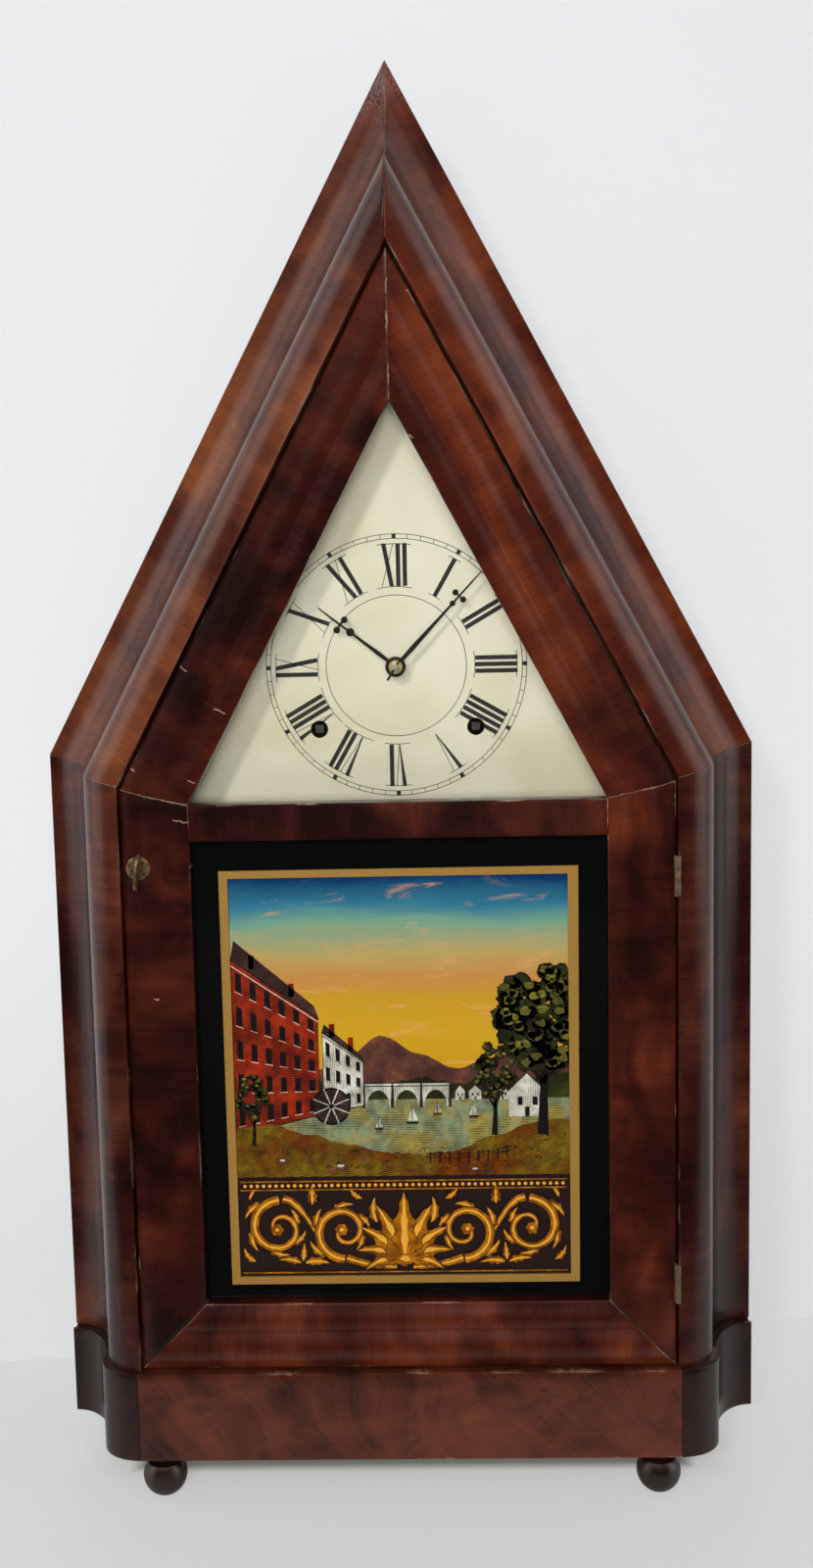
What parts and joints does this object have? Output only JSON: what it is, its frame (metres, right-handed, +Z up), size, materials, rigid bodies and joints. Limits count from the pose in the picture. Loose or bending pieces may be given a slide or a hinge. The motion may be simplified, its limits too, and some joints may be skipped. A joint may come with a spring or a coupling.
{
  "type": "steeple clock",
  "caption": "Pointed mantel clock: ogee-moulded case on ball feet, hinged door with a clear upper glass and a painted lower glass, dial with two hands, striking movement, pendulum and gong.",
  "frame": {"origin": "middle of the footprint on the surface that the feet stand on", "axes": "+Z up, +X to the right as the viewer faces the dial, the door faces -Y"},
  "size_m": [0.344, 0.128, 0.6782],
  "materials": {
    "mahogany_moulding": "polished flame mahogany veneer",
    "mahogany_door": "polished mahogany veneer",
    "mid_rail_wood": "worn mahogany veneer",
    "base_veneer": "polished flame mahogany veneer",
    "base_corner_veneer": "dark upright-grained veneer",
    "case_side": "stained and polished wood",
    "back_board": "bare softwood, darkened",
    "inner_wood": "bare softwood",
    "glazing_strip": "stained wood",
    "foot_wood": "dark turned wood",
    "clear_glass": "clear",
    "tablet_glass": "glass painted and papered on its back",
    "hinge_brass": "aged brass",
    "catch_brass": "rubbed brass",
    "hinge_pin_steel": "aged steel",
    "dial_paint": "cream paint on sheet zinc, black numerals",
    "screw_steel": "aged steel",
    "plate_brass": "satin brass",
    "wheel_brass": "satin brass",
    "arbor_steel": "steel",
    "spring_steel": "blued steel",
    "hand_steel": "blued black steel",
    "washer_brass": "polished brass",
    "pendulum_brass": "brass over lead",
    "gong_steel": "blued steel wire",
    "gong_iron": "black iron"
  },
  "bodies": {
    "case": {"backboard": "back_board", "side_boards": "case_side", "roof_boards": "case_side", "floor_board": "inner_wood", "left_side_moulding": "mahogany_moulding", "right_side_moulding": "mahogany_moulding", "left_roof_moulding": "mahogany_moulding", "right_roof_moulding": "mahogany_moulding", "base_front": "base_veneer", "base_sides": "base_corner_veneer", "ball_feet": "foot_wood", "hinge_case_leaves": "hinge_brass", "hinge_pins": "hinge_pin_steel", "dial": "dial_paint", "dial_cleats": "inner_wood", "wood_screws": "screw_steel", "movement_rails": "inner_wood", "front_plate": "plate_brass", "back_plate": "plate_brass", "plate_pillars": "plate_brass", "pillar_nuts": "screw_steel", "mainsprings": "spring_steel", "gong": "gong_steel", "gong_block": "gong_iron"},
    "door": {"left_stile": "mahogany_door", "right_stile": "mahogany_door", "left_rafter": "mahogany_door", "right_rafter": "mahogany_door", "mid_rail": "mid_rail_wood", "bottom_rail": "mahogany_door", "dial_glass": "clear_glass", "tablet_glass": "tablet_glass", "glazing_strips": "glazing_strip", "hinge_door_leaves": "hinge_brass"},
    "catch": {"catch_turn": "catch_brass"},
    "minute_arbor": {"centre_wheel": "wheel_brass", "minute_hand": "hand_steel", "hand_washer": "washer_brass", "taper_pin": "arbor_steel"},
    "second_arbor": {"second_wheel": "wheel_brass"},
    "time_great": {"time_great_wheel": "wheel_brass"},
    "third_arbor": {"third_wheel": "wheel_brass"},
    "escape_arbor": {"escape_wheel": "wheel_brass"},
    "motion_wheel": {"minute_wheel": "wheel_brass"},
    "hour_pipe": {"hour_wheel": "wheel_brass", "hour_hand": "hand_steel"},
    "time_winder": {"time_winding_arbor": "arbor_steel"},
    "strike_winder": {"strike_winding_arbor": "arbor_steel"},
    "pin_arbor": {"pin_wheel": "wheel_brass"},
    "strike_second_arbor": {"strike_second_wheel": "wheel_brass"},
    "strike_great": {"strike_great_wheel": "wheel_brass", "count_wheel": "wheel_brass"},
    "warning_arbor": {"warning_wheel": "wheel_brass"},
    "fly_arbor": {"fly": "wheel_brass"},
    "pendulum": {"pendulum_rod": "pendulum_brass", "pendulum_bob": "pendulum_brass", "rating_nut": "pendulum_brass"},
    "verge_body": {"verge": "arbor_steel"},
    "hammer_arm": {"hammer": "arbor_steel"},
    "count_lever": {"strike_lever": "arbor_steel"}
  },
  "joints": [
    {"name": "door_swing", "type": "hinge", "parent": "case", "child": "door", "pos_m": [0.12805, -0.0564, 0.3], "axis": [0, 0, 1], "range_deg": [0, 110]},
    {"name": "catch_turn", "type": "hinge", "parent": "door", "child": "catch", "pos_m": [-0.1199, -0.056, 0.3083], "axis": [0, -1, 0], "range_deg": [0, 90]},
    {"name": "minute_hand_turn", "type": "hinge", "parent": "case", "child": "minute_arbor", "pos_m": [0, 0, 0.3976], "axis": [0, 1, 0], "continuous": true},
    {"name": "second_wheel_turn", "type": "hinge", "parent": "case", "child": "second_arbor", "pos_m": [0.02163, 0, 0.39528], "axis": [0, 1, 0], "continuous": true},
    {"name": "time_great_wheel_turn", "type": "hinge", "parent": "case", "child": "time_great", "pos_m": [0.0375, 0, 0.3679], "axis": [0, 1, 0], "continuous": true},
    {"name": "third_wheel_turn", "type": "hinge", "parent": "case", "child": "third_arbor", "pos_m": [0.00183, 0, 0.41847], "axis": [0, 1, 0], "continuous": true},
    {"name": "escape_wheel_turn", "type": "hinge", "parent": "case", "child": "escape_arbor", "pos_m": [-0.009, 0, 0.43546], "axis": [0, 1, 0], "continuous": true},
    {"name": "motion_wheel_turn", "type": "hinge", "parent": "case", "child": "motion_wheel", "pos_m": [0.01029, 0, 0.38731], "axis": [0, 1, 0], "continuous": true},
    {"name": "hour_hand_turn", "type": "hinge", "parent": "case", "child": "hour_pipe", "pos_m": [0, 0, 0.3976], "axis": [0, 1, 0], "continuous": true},
    {"name": "time_winding", "type": "hinge", "parent": "case", "child": "time_winder", "pos_m": [0.0375, 0, 0.3679], "axis": [0, 1, 0], "continuous": true},
    {"name": "strike_winding", "type": "hinge", "parent": "case", "child": "strike_winder", "pos_m": [-0.0375, 0, 0.3679], "axis": [0, 1, 0], "continuous": true},
    {"name": "strike_pin_wheel_turn", "type": "hinge", "parent": "case", "child": "pin_arbor", "pos_m": [-0.02098, 0, 0.41289], "axis": [0, 1, 0], "continuous": true},
    {"name": "strike_second_wheel_turn", "type": "hinge", "parent": "case", "child": "strike_second_arbor", "pos_m": [-0.02931, 0, 0.39847], "axis": [0, 1, 0], "continuous": true},
    {"name": "strike_great_wheel_turn", "type": "hinge", "parent": "case", "child": "strike_great", "pos_m": [-0.0375, 0, 0.3679], "axis": [0, 1, 0], "continuous": true},
    {"name": "warning_wheel_turn", "type": "hinge", "parent": "case", "child": "warning_arbor", "pos_m": [-0.02582, 0, 0.42619], "axis": [0, 1, 0], "continuous": true},
    {"name": "fly_turn", "type": "hinge", "parent": "case", "child": "fly_arbor", "pos_m": [-0.02804, 0, 0.43874], "axis": [0, 1, 0], "continuous": true},
    {"name": "pendulum_swing", "type": "hinge", "parent": "case", "child": "pendulum", "pos_m": [-0.009, 0, 0.45433], "axis": [0, 1, 0], "range_deg": [-3, 3]},
    {"name": "verge_rock", "type": "hinge", "parent": "case", "child": "verge_body", "pos_m": [-0.009, 0, 0.45433], "axis": [0, 1, 0], "range_deg": [-3, 3]},
    {"name": "hammer_swing", "type": "hinge", "parent": "case", "child": "hammer_arm", "pos_m": [-0.0433, 0, 0.3366], "axis": [0, 1, 0], "range_deg": [0, 8]},
    {"name": "count_lever_lift", "type": "hinge", "parent": "case", "child": "count_lever", "pos_m": [-0.057, 0, 0.3916], "axis": [0, -1, 0], "range_deg": [0, 8]}
  ],
  "couplings": [
    {"joint": "second_wheel_turn", "follows": "minute_hand_turn", "ratio": -0.5},
    {"joint": "time_great_wheel_turn", "follows": "minute_hand_turn", "ratio": 0.083333},
    {"joint": "third_wheel_turn", "follows": "minute_hand_turn", "ratio": -9},
    {"joint": "escape_wheel_turn", "follows": "minute_hand_turn", "ratio": 81},
    {"joint": "motion_wheel_turn", "follows": "minute_hand_turn", "ratio": -0.33333},
    {"joint": "hour_hand_turn", "follows": "minute_hand_turn", "ratio": 0.083333},
    {"joint": "strike_second_wheel_turn", "follows": "strike_pin_wheel_turn", "ratio": -0.15385},
    {"joint": "strike_great_wheel_turn", "follows": "strike_pin_wheel_turn", "ratio": 0.025641},
    {"joint": "warning_wheel_turn", "follows": "strike_pin_wheel_turn", "ratio": -6},
    {"joint": "fly_turn", "follows": "strike_pin_wheel_turn", "ratio": 36},
    {"joint": "verge_rock", "follows": "pendulum_swing", "ratio": 1}
  ]
}
